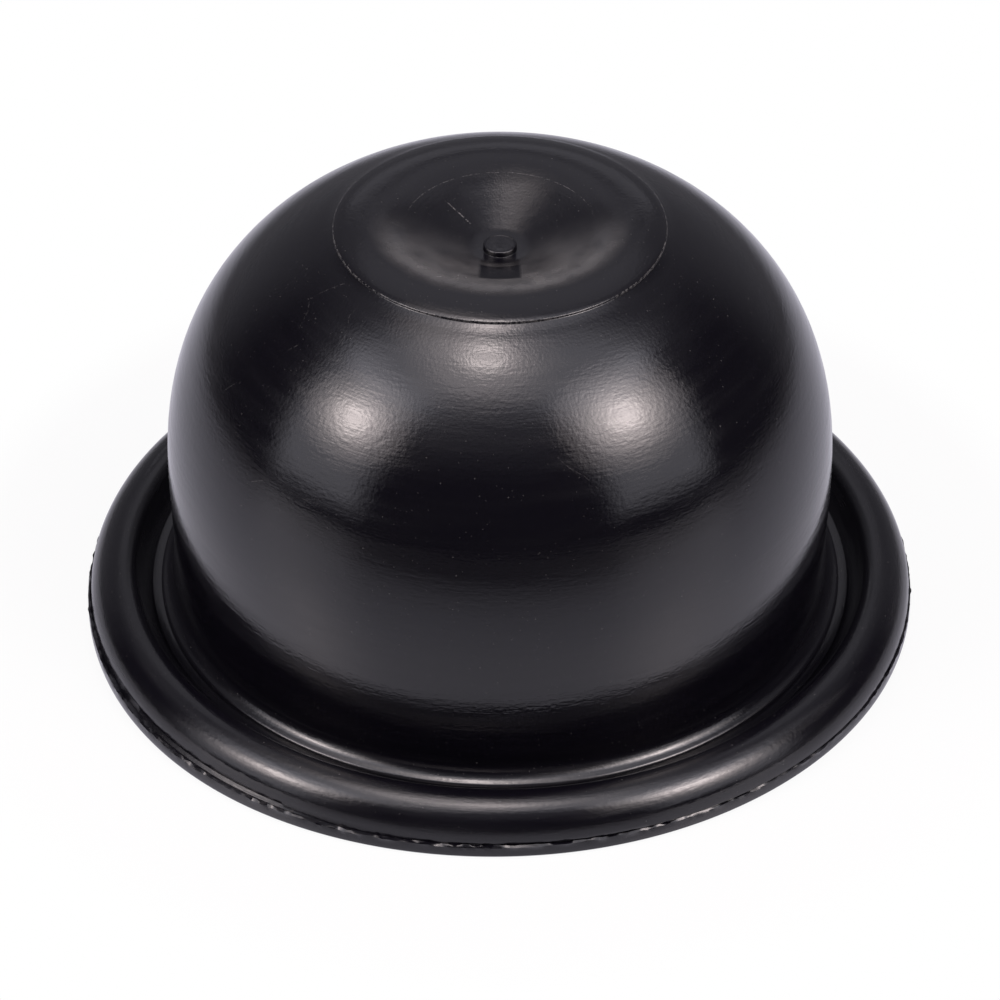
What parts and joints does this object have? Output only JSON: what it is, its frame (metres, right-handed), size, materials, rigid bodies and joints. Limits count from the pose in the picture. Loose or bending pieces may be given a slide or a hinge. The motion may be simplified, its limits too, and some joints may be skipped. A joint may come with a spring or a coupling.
{
  "type": "pump diaphragm",
  "caption": "Moulded rubber pump diaphragm: a thick dome with a dimpled crown and moulding nub, on a round flange with a sealing bead, open underneath.",
  "frame": {"origin": "centre of the sealing face under the flange", "axes": "+Z along the dome's axis, from the sealing face towards the crown"},
  "size_m": [0.0904, 0.0904, 0.0482],
  "materials": {
    "rubber": "moulded, semi-gloss"
  },
  "bodies": {
    "root": {"diaphragm": "rubber"}
  },
  "joints": []
}
